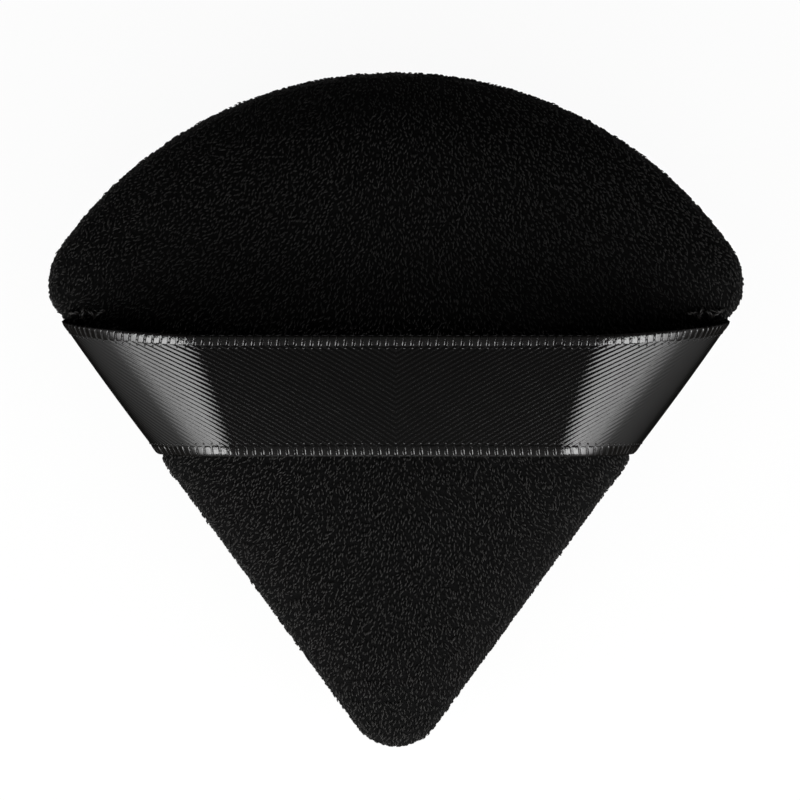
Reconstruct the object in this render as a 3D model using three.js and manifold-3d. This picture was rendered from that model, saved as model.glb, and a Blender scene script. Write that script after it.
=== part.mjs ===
// Triangular velour powder puff with a satin ribbon for the fingers. Lengths are in millimetres.
// The puff lies on its powder side: +Z is up, +Y points to the arch and -Y to the tip.
import * as THREE from 'three';
import Module from 'manifold-3d';
import { mergeVertices } from 'three/addons/utils/BufferGeometryUtils.js';

const wasm = await Module();
wasm.setup();

// Outline of the puff, seen from the front
const puffWidth = 74.2;
const puffLength = 72;
const sideLeanDegrees = 36;
const tipRadius = 5.2;
const cornerRadius = 6.5;

// Depths of the two cushions, from the seam that joins them
const frontCrown = 8.5;
const backDepth = 7.5;
const restingPress = 0.5;
const domeFlareShare = 0.667;
const roundShare = 0.8;

// Cloth of the covers, rolled in at the seam
const velourThickness = 1.5;
const seamRoll = 2;
const seamGroove = 1.6;
const seamAllowance = 3.6;
const allowanceThickness = 1.1;

// Finger ribbon
const ribbonWidth = 12.7;
const ribbonThickness = 0.35;
const selvedgeWidth = 1.3;
const selvedgeThickness = 0.6;
const selvedgeRound = 0.3;
const ribbonPastSide = 0.14;
const fingerGap = 5.5;
const upperBendRun = 14.9;
const lowerBendRun = 8.4;
const upperEndRise = 2;
const lowerEndRise = 0.15;
const riseEaseShare = 0.75;
const ribbonTurn = 1.8;
const ribbonTail = 3;

// Crease that the velour is drawn into above each ribbon end
const creaseDepth = 1.5;
const creaseHalfWidth = 2.6;
const creaseLength = 11;
const creaseOffset = 1;
const waistFade = 2;

// Threads
const threadThickness = 0.4;
const stitchLength = 3;
const stitchLift = 0.25;
const stitchLineInset = 2.6;
const closingBelowRibbon = 4.9;
const closingLength = 24;
const closingStitch = 2.5;
const closingReach = 0.3;
const closingInset = 0.05;
const endStitchFromEdge = 1.6;
const endStitchRow = 3.2;
const endStitchReach = 0.45;
const endStitchCount = 4;

// Gap between pieces that fit together
const fitClearance = 0.3;

// Half height of the slot round the foam pad that takes the seam allowances and their threads
const coreSlot = allowanceThickness + stitchLift + threadThickness + 2 * fitClearance;

// How finely the curved pieces are divided
const tipSteps = 4;
const sideSteps = 6;
const ribbonSideSteps = 4;
const cornerSteps = 6;
const archSteps = 10;
const domeSteps = 7;
const liningSteps = 5;
const bendSteps = 10;
const turnSteps = 4;
const threadSides = 5;

const quarterTurn = Math.PI / 2;
const { degToRad, smoothstep } = THREE.MathUtils;

// The straight right side leans out from the tip; its outward direction points right and down.
const lean = degToRad(sideLeanDegrees);
const outward = new THREE.Vector2(Math.cos(lean), -Math.sin(lean));

// Centres of the corner and arch circles, which touch each other and the side
const radiusStep = tipRadius - cornerRadius;
const cornerX = puffWidth / 2 - cornerRadius;
const sideRun = (cornerX - radiusStep * Math.cos(lean)) / Math.sin(lean);
const cornerY = tipRadius - radiusStep * Math.sin(lean) + sideRun * Math.cos(lean);
const cornerToTop = puffLength - cornerY;
const archRadius =
  (cornerX ** 2 + cornerToTop ** 2 - cornerRadius ** 2) / (2 * (cornerToTop - cornerRadius));
const archY = puffLength - archRadius;
const cornerTurn = Math.atan2(cornerY - archY, cornerX);

// The point that lies equally far from both sides and the arch; the rings shrink towards it.
const sideApexY = tipRadius - tipRadius / Math.sin(lean);
const ringCentreY = (puffLength + sideApexY * Math.sin(lean)) / (1 + Math.sin(lean));
const ringCentre = new THREE.Vector2(0, ringCentreY);
const ringReach = puffLength - ringCentreY;

function sideX(y) {
  return (y - sideApexY) * Math.tan(lean);
}

// Where the ribbon's edges meet the right side: its upper end reaches just past the straight side.
const upperEndY = cornerY + cornerRadius * outward.y + ribbonPastSide;
const ribbonUpperY = upperEndY - upperEndRise;
const ribbonLowerY = ribbonUpperY - ribbonWidth;
const lowerEndY = ribbonLowerY + lowerEndRise;
const lowerEnd = new THREE.Vector2(sideX(lowerEndY), lowerEndY);
const upperEnd = new THREE.Vector2(sideX(upperEndY), upperEndY);

// The turning gap that the closing thread sews up, on the left side between the tip and the ribbon
const sideStart = outward.clone().multiplyScalar(tipRadius).add(new THREE.Vector2(0, tipRadius));
const tipToSide = tipRadius * (quarterTurn - lean);
const tipToRibbon = tipToSide + sideStart.distanceTo(lowerEnd);
const closingFromTip = tipToRibbon - closingBelowRibbon - closingLength;

function arcPoints(x, y, radius, from, to, steps) {
  return new THREE.EllipseCurve(x, y, radius, radius, from, to).getPoints(steps);
}

function linePoints(from, to, steps) {
  return new THREE.LineCurve(from, to).getPoints(steps);
}

// The velour is drawn in under the ribbon's ends, so that the ribbon lies flush with the sides.
function drawnIn(point) {
  const below = smoothstep(point.y, lowerEnd.y - waistFade, lowerEnd.y);
  const above = 1 - smoothstep(point.y, upperEnd.y, upperEnd.y + waistFade);
  const waistDepth = ribbonThickness + fitClearance;
  return point.clone().addScaledVector(outward, -waistDepth * below * above);
}

// Outline of the covers, counter-clockwise from the tip, as the right half and its mirror image
function makeOutline() {
  const fadeY = lowerEnd.y - waistFade;
  const fadeStart = new THREE.Vector2(sideX(fadeY), fadeY);
  const tip = arcPoints(0, tipRadius, tipRadius, -quarterTurn, -lean, tipSteps);
  const corner = arcPoints(cornerX, cornerY, cornerRadius, -lean, cornerTurn, cornerSteps);
  const arch = arcPoints(0, archY, archRadius, cornerTurn, quarterTurn, archSteps);
  const half = [
    ...tip,
    ...linePoints(tip.at(-1), fadeStart, sideSteps).slice(1),
    ...linePoints(lowerEnd, corner[0], ribbonSideSteps).slice(0, -1),
    ...corner,
    ...arch.slice(1),
  ].map(drawnIn);
  const mirrored = half.slice(1, -1).reverse().map((point) => new THREE.Vector2(-point.x, point.y));
  return [...half, ...mirrored];
}

const outline = makeOutline();

function insetShare(inset) {
  return 1 - inset / ringReach;
}

// The ribbon's upper edge, seen from the front, at a distance from the middle line
function upperEdgeY(x) {
  const sine = THREE.MathUtils.clamp(1 - (upperEnd.x - Math.abs(x)) / upperBendRun, 0, 1);
  return ribbonUpperY + upperEndRise * (1 - Math.sqrt(1 - sine ** 2)) ** riseEaseShare;
}

// Share of its full depth that the crease above each ribbon end has at a place. It fades out along
// its length, across its width and down the dome, where the seam holds the velour.
function creaseShare(x, y, height) {
  const along = THREE.MathUtils.clamp((upperEnd.x - Math.abs(x)) / creaseLength, 0, 1);
  const across = (y - upperEdgeY(x) - creaseOffset) / creaseHalfWidth;
  const loose = Math.sqrt(Math.max(height - coreSlot, 0) / (frontCrown - coreSlot));
  return loose * Math.sin(Math.PI * along) * Math.exp(-(across ** 2));
}

// A point of the outline drawn to the ring centre, so that small rings are rounder than large ones
function shrunk(point, share) {
  const reach = point.clone().sub(ringCentre);
  const round = reach.clone().setLength(ringReach);
  return reach.lerp(round, roundShare * (1 - share ** 2)).multiplyScalar(share).add(ringCentre);
}

// One ring: the outline shrunk to a share of its size, at a height above or below the seam
function ring({ share, height, crease = 0 }) {
  return outline.map((point) => {
    const { x, y } = shrunk(point, share);
    return new THREE.Vector3(x, y, backDepth + height - crease * creaseShare(x, y, height));
  });
}

function pole(height) {
  return new THREE.Vector3(0, ringCentreY, backDepth + height);
}

// Rings of a dome whose whole crown stands over its foot, between two of its heights
function domeRings({ share, foot, crown, from, to, steps, crease }) {
  const start = Math.asin((from - foot) / (crown - foot));
  const end = Math.asin((to - foot) / (crown - foot));
  const rings = [];
  for (let step = 0; step <= steps; step += 1) {
    const angle = THREE.MathUtils.lerp(start, end, step / steps);
    const height = foot + (crown - foot) * Math.sin(angle);
    rings.push({ share: share * Math.cos(angle) ** domeFlareShare, height, crease });
  }
  return to < crown ? rings : rings.slice(0, -1);
}

// The two triangles between points a and b of one ring and c and d of the next, on the short diagonal
function quad(points, [a, b, c, d]) {
  const acrossAC = points[a].distanceTo(points[c]) < points[b].distanceTo(points[d]);
  return acrossAC ? [a, b, c, a, c, d] : [a, b, d, b, c, d];
}

// A closed surface through rings of points, each end closed to a point of its own
function skin(rings, firstPole, lastPole) {
  const count = rings[0].length;
  const points = [...rings.flat(), firstPole, lastPole];
  const first = points.length - 2;
  const last = points.length - 1;
  const lastRing = (rings.length - 1) * count;
  const faces = [];
  for (let index = 0; index < count; index += 1) {
    const next = (index + 1) % count;
    faces.push(first, next, index, last, lastRing + index, lastRing + next);
    for (let start = 0; start < lastRing; start += count) {
      const [a, b] = [start + index, start + next];
      faces.push(...quad(points, [a, b, b + count, a + count]));
    }
  }
  const geometry = new THREE.BufferGeometry();
  const positions = points.flatMap((point) => point.toArray());
  geometry.setAttribute('position', new THREE.Float32BufferAttribute(positions, 3));
  geometry.setIndex(faces);
  geometry.computeVertexNormals();
  return geometry;
}

function toSolid(geometry) {
  const bare = geometry.clone();
  bare.deleteAttribute('normal');
  bare.deleteAttribute('uv');
  const merged = mergeVertices(bare);
  return new wasm.Manifold(new wasm.Mesh({
    numProp: 3,
    vertProperties: new Float32Array(merged.attributes.position.array),
    triVerts: new Uint32Array(merged.index.array),
  }));
}

function cut(geometry, tool) {
  const mesh = toSolid(geometry).subtract(toSolid(tool)).getMesh();
  const result = new THREE.BufferGeometry();
  result.setAttribute('position', new THREE.BufferAttribute(mesh.vertProperties, 3));
  result.setIndex(new THREE.BufferAttribute(mesh.triVerts, 1));
  result.computeVertexNormals();
  return result;
}

// One cover: a domed shell of velour that rolls in at the seam and ends in its seam allowance
function coverGeometry({ crown, reach, crease, upwards }) {
  const liningShare = insetShare(velourThickness);
  const rollShare = insetShare(seamGroove * (1 - Math.SQRT1_2));
  const grooveShare = insetShare(seamGroove);
  const edgeShare = insetShare(seamGroove + seamAllowance);
  const lining = domeRings({
    share: liningShare,
    foot: allowanceThickness,
    crown: crown - velourThickness,
    from: coreSlot,
    to: reach - velourThickness,
    steps: liningSteps,
    crease,
  });
  const dome = domeRings({
    share: 1,
    foot: seamRoll,
    crown,
    from: seamRoll,
    to: reach,
    steps: domeSteps,
    crease,
  });
  const section = [
    ...lining.reverse(),
    { share: liningShare, height: allowanceThickness },
    { share: edgeShare, height: allowanceThickness },
    { share: edgeShare, height: 0 },
    { share: grooveShare, height: 0 },
    { share: rollShare, height: seamRoll * (1 - Math.SQRT1_2) },
    ...dome,
  ];
  if (upwards) {
    return skin(section.map(ring), pole(reach - velourThickness), pole(reach));
  }
  const turned = section.reverse().map((place) => ({ ...place, height: -place.height }));
  return skin(turned.map(ring), pole(-reach), pole(velourThickness - reach));
}

// The foam pad fills both covers and is slotted all round.
function coreGeometry() {
  const half = (crown, reach, crease) => domeRings({
    share: insetShare(velourThickness + fitClearance),
    foot: allowanceThickness,
    crown: crown - velourThickness - fitClearance,
    from: coreSlot,
    to: reach - velourThickness - fitClearance,
    steps: liningSteps,
    crease,
  });
  const slotShare = insetShare(seamGroove + seamAllowance + fitClearance);
  const front = half(frontCrown, frontCrown, creaseDepth + fitClearance);
  const back = half(backDepth + restingPress, backDepth, 0);
  const section = [
    ...back.reverse().map(({ share, height }) => ({ share, height: -height })),
    { share: slotShare, height: -coreSlot },
    { share: slotShare, height: coreSlot },
    ...front,
  ];
  const skinned = velourThickness + fitClearance;
  return skin(section.map(ring), pole(skinned - backDepth), pole(frontCrown - skinned));
}

// Right half of one ribbon edge: flat over the fingers, bent down the side, turned into the seam
function ribbonEdge(y, end, run, tail) {
  const flatHeight = frontCrown + fingerGap + ribbonThickness / 2;
  const side = end.clone().addScaledVector(outward, -ribbonThickness / 2);
  const bendStart = side.x - run;
  const points = [new THREE.Vector3(0, y, flatHeight), new THREE.Vector3(bendStart / 2, y, flatHeight)];
  for (let step = 0; step <= bendSteps; step += 1) {
    const angle = quarterTurn * step / bendSteps;
    const fallen = 1 - Math.cos(angle);
    points.push(new THREE.Vector3(
      bendStart + run * Math.sin(angle),
      THREE.MathUtils.lerp(y, side.y, fallen ** riseEaseShare),
      THREE.MathUtils.lerp(flatHeight, ribbonTurn, fallen),
    ));
  }
  for (let step = 1; step <= turnSteps; step += 1) {
    const angle = quarterTurn * step / turnSteps;
    const inwards = side.clone().addScaledVector(outward, -ribbonTurn * (1 - Math.cos(angle)));
    points.push(new THREE.Vector3(inwards.x, inwards.y, ribbonTurn * (1 - Math.sin(angle))));
  }
  const tailEnd = side.clone().addScaledVector(outward, -ribbonTurn - tail);
  points.push(new THREE.Vector3(tailEnd.x, tailEnd.y, 0));
  return points;
}

function wholeEdge(...place) {
  const right = ribbonEdge(...place);
  const left = right.slice(1).reverse().map((point) => new THREE.Vector3(-point.x, point.y, point.z));
  return [...left, ...right].map((point) => point.setZ(point.z + backDepth));
}

// A strap swept along the ribbon's two edges; profile lists places across it and half thicknesses.
function strapGeometry(profile, tail) {
  const lower = wholeEdge(ribbonLowerY, lowerEnd, lowerBendRun, tail);
  const upper = wholeEdge(ribbonUpperY, upperEnd, upperBendRun, tail);
  const middles = lower.map((point, index) => point.clone().lerp(upper[index], 0.5));
  const lastIndex = middles.length - 1;
  const section = [
    ...profile.map(([place, half]) => [place, -half]),
    ...profile.toReversed(),
  ];
  const rings = middles.map((middle, index) => {
    const ahead = middles[Math.min(index + 1, lastIndex)];
    const behind = middles[Math.max(index - 1, 0)];
    const along = ahead.clone().sub(behind);
    const across = upper[index].clone().sub(lower[index]);
    const normal = along.cross(across).normalize();
    return section.map(([place, half]) => lower[index].clone()
      .addScaledVector(across, place / ribbonWidth)
      .addScaledVector(normal, half));
  });
  return skin(rings, middles[0], middles[lastIndex]);
}

// The satin ribbon is thin between its two corded selvedges.
function ribbonGeometry() {
  const satin = ribbonThickness / 2;
  const cord = selvedgeThickness / 2;
  const edge = [
    [0, cord - selvedgeRound / 2],
    [selvedgeRound, cord],
    [selvedgeWidth - selvedgeRound, cord],
    [selvedgeWidth, satin],
  ];
  const opposite = edge.toReversed().map(([place, half]) => [ribbonWidth - place, half]);
  return strapGeometry([...edge, [ribbonWidth / 2, satin], ...opposite], ribbonTail);
}

// The room that the covers leave for the ribbon and its tails
function ribbonRoomGeometry() {
  const half = selvedgeThickness / 2 + fitClearance;
  const profile = [[-fitClearance, half], [ribbonWidth + fitClearance, half]];
  return strapGeometry(profile, ribbonTail + fitClearance);
}

// A thread through a list of points; up is a direction that it never runs along.
function threadGeometry(points, up) {
  const lastIndex = points.length - 1;
  const rings = points.map((point, index) => {
    const ahead = points[Math.min(index + 1, lastIndex)];
    const behind = points[Math.max(index - 1, 0)];
    const along = ahead.clone().sub(behind).normalize();
    const side = up.clone().cross(along).normalize();
    const over = along.clone().cross(side);
    return Array.from({ length: threadSides }, (_, corner) => {
      const angle = 4 * quarterTurn * corner / threadSides;
      return point.clone()
        .addScaledVector(side, Math.cos(angle) * threadThickness / 2)
        .addScaledVector(over, Math.sin(angle) * threadThickness / 2);
    });
  });
  return skin(rings, points[0], points[lastIndex]);
}

const upDirection = new THREE.Vector3(0, 0, 1);
const rim = new THREE.Path().setFromPoints([...outline, outline[0]]);

// A place on the shrunk outline, at a distance along the outline counter-clockwise from the tip
function rimPoint(distance, share, height) {
  const turns = distance / rim.getLength();
  const { x, y } = shrunk(rim.getPoint(turns - Math.floor(turns)), share);
  return new THREE.Vector3(x, y, backDepth + height);
}

// One of the lockstitch's two threads, which runs round the seam as far as the closing gap
function seamThreadGeometry(direction) {
  const from = -closingFromTip;
  const to = rim.getLength() - closingFromTip - closingLength;
  const halfStitches = 2 * Math.round((to - from) / stitchLength);
  const share = insetShare(stitchLineInset);
  const low = allowanceThickness + fitClearance + threadThickness / 2;
  const points = [];
  for (let step = 0; step <= halfStitches; step += 1) {
    const lift = step % 2 === 0 ? 0 : stitchLift;
    const distance = THREE.MathUtils.lerp(from, to, step / halfStitches);
    points.push(rimPoint(distance, share, direction * (low + lift)));
  }
  return threadGeometry(points, upDirection);
}

// The ladder stitch that closes the turning gap crosses the seam groove from cover to cover.
function closingThreadGeometry() {
  const stitches = Math.round(closingLength / closingStitch);
  const from = rim.getLength() - closingFromTip - closingLength;
  const share = insetShare(closingInset);
  const points = [];
  for (let stitch = 0; stitch <= stitches; stitch += 1) {
    const distance = from + closingLength * stitch / stitches;
    const height = stitch % 2 === 0 ? closingReach : -closingReach;
    const ease = closingStitch / 4;
    points.push(rimPoint(distance - ease, share, -height));
    points.push(rimPoint(distance + ease, share, height));
  }
  return threadGeometry(points.slice(1, -1), new THREE.Vector3(-outward.x, outward.y, 0));
}

// Hand stitches above a ribbon end lie in the crease, on the velour of the front cover.
function endStitchesGeometry(frontCover, side) {
  const probe = new THREE.Raycaster();
  const above = backDepth + frontCrown + fingerGap;
  const points = [];
  const halfStitches = 2 * endStitchCount;
  for (let step = 0; step <= halfStitches; step += 1) {
    const inwards = endStitchFromEdge + endStitchRow * step / halfStitches;
    const x = side * (upperEnd.x - inwards);
    const reach = step % 2 === 0 ? -endStitchReach : endStitchReach;
    const y = upperEdgeY(x) + creaseOffset + reach;
    probe.set(new THREE.Vector3(x, y, above), upDirection.clone().negate());
    const velour = probe.intersectObject(frontCover)[0].point;
    points.push(velour.setZ(velour.z + fitClearance + threadThickness / 2));
  }
  return threadGeometry(points, upDirection);
}

// Black velour with a deep pile, the same cloth on both covers
function velourMaterial() {
  return new THREE.MeshStandardMaterial({ color: 0x12110f, roughness: 0.95, metalness: 0 });
}

function satinMaterial() {
  return new THREE.MeshStandardMaterial({ color: 0x1c1a18, roughness: 0.35, metalness: 0 });
}

function foamMaterial() {
  return new THREE.MeshStandardMaterial({ color: 0x2a2a2b, roughness: 0.9, metalness: 0 });
}

function threadMaterial() {
  return new THREE.MeshStandardMaterial({ color: 0x1a1918, roughness: 0.6, metalness: 0 });
}

function makePiece(name, geometry, material) {
  const piece = new THREE.Mesh(geometry, material);
  piece.name = name;
  return piece;
}

const ribbonRoom = ribbonRoomGeometry();
const frontShell = coverGeometry({
  crown: frontCrown,
  reach: frontCrown,
  crease: creaseDepth,
  upwards: true,
});
const backShell = coverGeometry({
  crown: backDepth + restingPress,
  reach: backDepth,
  crease: 0,
  upwards: false,
});
const frontCover = makePiece('front_cover', cut(frontShell, ribbonRoom), velourMaterial());
const backCover = makePiece('back_cover', cut(backShell, ribbonRoom), velourMaterial());

const puff = new THREE.Group();
puff.add(
  frontCover,
  backCover,
  makePiece('foam_core', coreGeometry(), foamMaterial()),
  makePiece('finger_ribbon', ribbonGeometry(), satinMaterial()),
  makePiece('seam_needle_thread', seamThreadGeometry(1), threadMaterial()),
  makePiece('seam_bobbin_thread', seamThreadGeometry(-1), threadMaterial()),
  makePiece('closing_thread', closingThreadGeometry(), threadMaterial()),
  makePiece('left_end_stitches', endStitchesGeometry(frontCover, -1), threadMaterial()),
  makePiece('right_end_stitches', endStitchesGeometry(frontCover, 1), threadMaterial()),
);
puff.position.y = -puffLength / 2;

export default puff;
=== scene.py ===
import math

import bmesh
import bpy
import numpy as np
from mathutils import Matrix, Vector, noise
from mathutils.bvhtree import BVHTree


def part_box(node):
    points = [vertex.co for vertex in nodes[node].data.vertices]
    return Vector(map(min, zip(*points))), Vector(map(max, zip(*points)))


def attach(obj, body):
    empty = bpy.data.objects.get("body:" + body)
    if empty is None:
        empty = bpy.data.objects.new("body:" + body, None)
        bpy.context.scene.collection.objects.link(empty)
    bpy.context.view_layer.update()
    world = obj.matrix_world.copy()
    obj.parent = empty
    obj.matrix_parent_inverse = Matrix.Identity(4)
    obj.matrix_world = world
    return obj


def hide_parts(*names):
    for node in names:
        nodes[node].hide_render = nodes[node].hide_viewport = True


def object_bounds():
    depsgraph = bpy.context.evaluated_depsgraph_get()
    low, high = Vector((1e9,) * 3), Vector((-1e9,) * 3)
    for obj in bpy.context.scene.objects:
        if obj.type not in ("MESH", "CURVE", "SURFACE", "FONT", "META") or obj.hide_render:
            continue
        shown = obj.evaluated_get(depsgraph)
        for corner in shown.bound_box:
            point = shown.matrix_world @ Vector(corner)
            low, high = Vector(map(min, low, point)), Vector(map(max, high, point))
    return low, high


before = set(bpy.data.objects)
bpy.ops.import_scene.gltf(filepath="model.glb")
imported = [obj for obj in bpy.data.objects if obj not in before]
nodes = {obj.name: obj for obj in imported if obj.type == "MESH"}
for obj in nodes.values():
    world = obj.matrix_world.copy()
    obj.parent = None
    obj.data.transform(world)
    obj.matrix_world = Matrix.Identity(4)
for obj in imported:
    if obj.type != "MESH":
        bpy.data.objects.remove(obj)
cad_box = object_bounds()
scene = bpy.context.scene

RANDOM_SEED = 7
QUARTER_TURN = math.pi / 2
# Keeps a direction from having no length
TINY = 1e-6

# Outline of the puff, which the ribbon's ends follow
SIDE_LEAN = math.radians(36)
TIP_RADIUS = 0.0052

# Finger ribbon
RIBBON_WIDTH = 0.0127
RIBBON_THICKNESS = 0.00035
RIBBON_CROWN = 0.00012
RIBBON_INSET = 0.0003
SELVEDGE_WIDTH = 0.0013
SELVEDGE_THICKNESS = 0.0005
UPPER_BEND_RUN = 0.0149
LOWER_BEND_RUN = 0.0084
UPPER_END_RISE = 0.0015
LOWER_END_RISE = 0.00015
RISE_EXPONENT = 0.75
RIBBON_TURN = 0.0018
RIBBON_TAIL = 0.003
FLAT_STEPS = 64
BEND_STEPS = 80
TURN_STEPS = 12
TAIL_STEPS = 10
SATIN_COLUMNS = 44

# Ribs and knots of the two selvedges
RIB_PITCH = 0.00088
RIB_STEPS = 20
RIB_SIDES = 24
RIB_EXPONENT = 0.6
RIB_SLANT_SHARE = 0.1
RIB_UNEVEN_SHARE = 0.12
GROOVE_SHARE = 0.09
GROOVE_DEPTH_SHARE = 0.42
GROOVE_NARROWING_SHARE = 0.3
KNOT_RADIUS = 0.00015
KNOT_LIFT = 0.00014
KNOT_RINGS = 3
KNOT_SIDES = 8

# Stuffed body under the pile
PILE_DEPTH = 0.00015
RIM_SHARE = 0.25
BODY_VOXEL = 0.0009
SKIN_VOXEL = 0.0003
SKIN_REACH = 0.0012
SMOOTHING_ROUNDS = 3
LAST_SMOOTHING_ROUNDS = 1
SIM_SCALE = 8
SIM_FRAMES = 20
SIM_PRESSURE = 4
SWELL_LIMIT = 0.0006
HELD_REACH = 0.0011
REST_REACH = 0.0003
CLOTH_THICKNESS = 0.0006
SEAM_ALLOWANCE = 0.0025
SEAM_CLEARANCE = 0.00005
END_FILL = 0.00045
END_FILL_REACH = 0.0025
END_FILL_EASE = 0.0002

# Tufts of the velour's pile
TUFT_AREA = 1.55e-7
TUFT_LENGTH = 0.0005
TUFT_RADIUS = 0.00011
TUFT_SINK = 0.0001
TUFT_SIDES = 3
TUFT_WIDTH_SHARES = (1, 1, 0.6)
TUFT_HEIGHT_SHARES = (0, 0.35, 0.8, 1)
TUFT_BOW_SHARES = (0.5, 1.1, 1.4)
CLUMP_LENGTH_SHARE = 0.35
STRAY_LENGTH_SHARE = 0.1
SHORTEST_SHARE = 0.35
SHORTEST_AT_RIBBON_SHARE = SHORTEST_SHARE / 2
LONGEST_SHARE = 1.5
SEAM_FADE = 0.0022
RIBBON_ROOM = 0.0002

# The way the pile lies; each use of the noise starts at a place of its own
LEAN_ANGLE = math.radians(66)
LEAN_SPREAD = math.radians(16)
FAN_REACH = 0.014
FAN_ANGLE = math.radians(36)
FLOW_STIR = math.radians(16)
CLUMP_STIR = math.radians(45)
STRAY = math.radians(12)
FLOW_SIZE = 0.006
CLUMP_SIZE = 0.0009
CLUMP_NOISE_START = 5
LENGTH_NOISE_START = 11
LEAN_NOISE_START = 23

# Threads
THREAD_RADIUS = 0.0002
PLIES = 2
PLY_TURN = 0.0013
PLY_STEP = 0.0001
PLY_SIDES = 8
PLY_OFFSET_SHARE = 0.5
PLY_RADIUS_SHARE = 0.55
STEEP_SHARE = 0.9
CLOSING_STITCH = 0.0025
CLOSING_SINK = 0.0004
END_LOOPS = 4
END_LOOP_RADIUS = 0.0005
END_LOOP_LIFT = 0.0003
LOOP_STEPS = 8
LOOP_TURN = math.radians(70)
LOOP_ROW_SHARE = 0.75
LOOP_UNEVEN_SHARE = 0.3
LOOP_UNEVEN_TURN = 3

# Foam pad
FOAM_VOXEL = 0.0008
FOAM_SMOOTHING_ROUNDS = 2

# Colours of the materials: red, green and blue from 0 to 1, without gamma
# The pile's colours paint shade at the tufts' roots and light towards their tips, over a random grain.
PILE_DARK_AND_ROOT_SHADE = (0.004, 0.0039, 0.0037)
PILE_LIGHT_AND_LIT_TIPS = (0.042, 0.041, 0.04)
SHEEN_TINT = (0.9, 0.9, 0.9, 1)
# The backing's near-black is partly its own colour and partly painted shade in the gaps between the
# tufts.
BACKING_DARK = (0.001, 0.001, 0.001)
BACKING_LIGHT = (0.003, 0.003, 0.003)
SATIN_DARK = (0.001, 0.0009, 0.0008)
SATIN_LIGHT = (0.0024, 0.0022, 0.002)
YARN_DARK = (0.002, 0.0019, 0.0018)
YARN_LIGHT = (0.006, 0.0056, 0.0052)
THREAD_DARK = (0.01, 0.0095, 0.009)
THREAD_LIGHT = (0.03, 0.0285, 0.027)
FOAM_DARK = (0.015, 0.015, 0.016)
FOAM_LIGHT = (0.05, 0.05, 0.052)
FLOOR_COLOUR = (0.7, 0.7, 0.69)
FLOOR_DARK_SHARE = 0.98
WHITE = (1, 1, 1, 1)

# Roughness of the materials, lowest and highest
PILE_ROUGHNESS = (0.42, 0.68)
BACKING_ROUGHNESS = (0.8, 1)
SATIN_ROUGHNESS = (0.13, 0.18)
YARN_ROUGHNESS = (0.12, 0.18)
THREAD_ROUGHNESS = (0.35, 0.5)
FOAM_ROUGHNESS = (0.7, 0.95)

# Fineness of the materials' grain, in waves to the metre, and the depths of their relief
PILE_GRAIN = 900
BACKING_GRAIN = 2500
SATIN_GRAIN = 3000
SATIN_PATCHES = 350
YARN_GRAIN = 4000
FOAM_CELLS = 1500
FLOOR_PATCHES = 20
BACKING_DEPTH = 0.0001
YARN_DEPTH = 0.00002
FOAM_DEPTH = 0.0003

# Weave and gloss of the satin and its yarns
TWILL_SLOPE = math.radians(31)
TWILL_PITCH = 0.00046
TWILL_DEPTH = 0.000018
SATIN_GRAIN_SHARE = 0.5
POLYESTER_IOR = 1.7
YARN_IOR = 2
DULL_IOR = 1.001
SATIN_SHINE = (math.radians(18), math.radians(83))
YARN_SHINE = (math.radians(24), math.radians(60))
SHINE_EASE = 2.4

# Floor and lamps
FLOOR_REACH = 6
FLOOR_GAP = 0.00005
WHITE_SHARE = 0.95
SOFTBOX_AIM = (0.69, -0.33, 0.64)
SOFTBOX_DISTANCE = 0.42
SOFTBOX_WIDTH = 0.14
SOFTBOX_HEIGHT = 0.51
SOFTBOX_POWER = 0.5
FRONT_AIM = (0.6, -0.71, 0.37)
FRONT_DISTANCE = 0.18
FRONT_WIDTH = 0.16
FRONT_HEIGHT = 0.12
FRONT_POWER = 0.47

# Background, whose reflection dims from one sine to the next, upwards and towards +Y
FILL_STRENGTH = 0.03
ZENITH_SHARE = 0.045
ZENITH_SINES = (0.1, 0.5)
BEHIND_SHARE = 0.05
BEHIND_SINES = (-0.3, 0.6)

# Photograph: the camera looks straight down on the puff through a long lens.
VIEW_CENTRE_X = 0.00044
VIEW_CENTRE_Y = 0.00105
VIEW_WIDTH = 0.08516
SENSOR_WIDTH_MM = 36
LENS_MM = 400

# Sockets of Blender's Mix node, whose names repeat for each kind of value
MIX_NUMBERS = (2, 3)
MIX_COLOURS = (6, 7)
MIX_NUMBER_RESULT = 0
MIX_COLOUR_RESULT = 2

ribbon_low, ribbon_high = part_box("finger_ribbon")
cover_low, cover_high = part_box("front_cover")
back_low, back_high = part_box("back_cover")
SEAM_Z = cover_low.z
random = np.random.default_rng(RANDOM_SEED)


# Making objects


def add_object(name, mesh):
    made = bpy.data.objects.new(name, mesh)
    scene.collection.objects.link(made)
    return made


def mesh_from(name, points, faces):
    mesh = bpy.data.meshes.new(name)
    mesh.from_pydata([tuple(point) for point in points], [], faces)
    mesh.validate()
    return mesh


def finish_piece(piece, material):
    piece.data.materials.clear()
    piece.data.materials.append(material)
    piece.data.shade_smooth()
    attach(piece, "root")


def joined_copy(name, *node_names):
    """One new object that holds copies of some CAD nodes' meshes."""
    joined = bmesh.new()
    for node_name in node_names:
        joined.from_mesh(nodes[node_name].data)
    mesh = bpy.data.meshes.new(name)
    joined.to_mesh(mesh)
    joined.free()
    return add_object(name, mesh)


def apply_modifiers(piece):
    graph = bpy.context.evaluated_depsgraph_get()
    baked = bpy.data.meshes.new_from_object(piece.evaluated_get(graph))
    piece.modifiers.clear()
    piece.data = baked


def voxel_remeshed(piece, voxel):
    remesh = piece.modifiers.new("voxels", "REMESH")
    remesh.mode = "VOXEL"
    remesh.voxel_size = voxel
    apply_modifiers(piece)


def smoothed(piece, rounds):
    smooth = piece.modifiers.new("smooth", "SMOOTH")
    smooth.iterations = rounds
    apply_modifiers(piece)


def subdivided(piece):
    subdivision = piece.modifiers.new("subdivision", "SUBSURF")
    subdivision.levels = 1
    apply_modifiers(piece)


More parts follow.
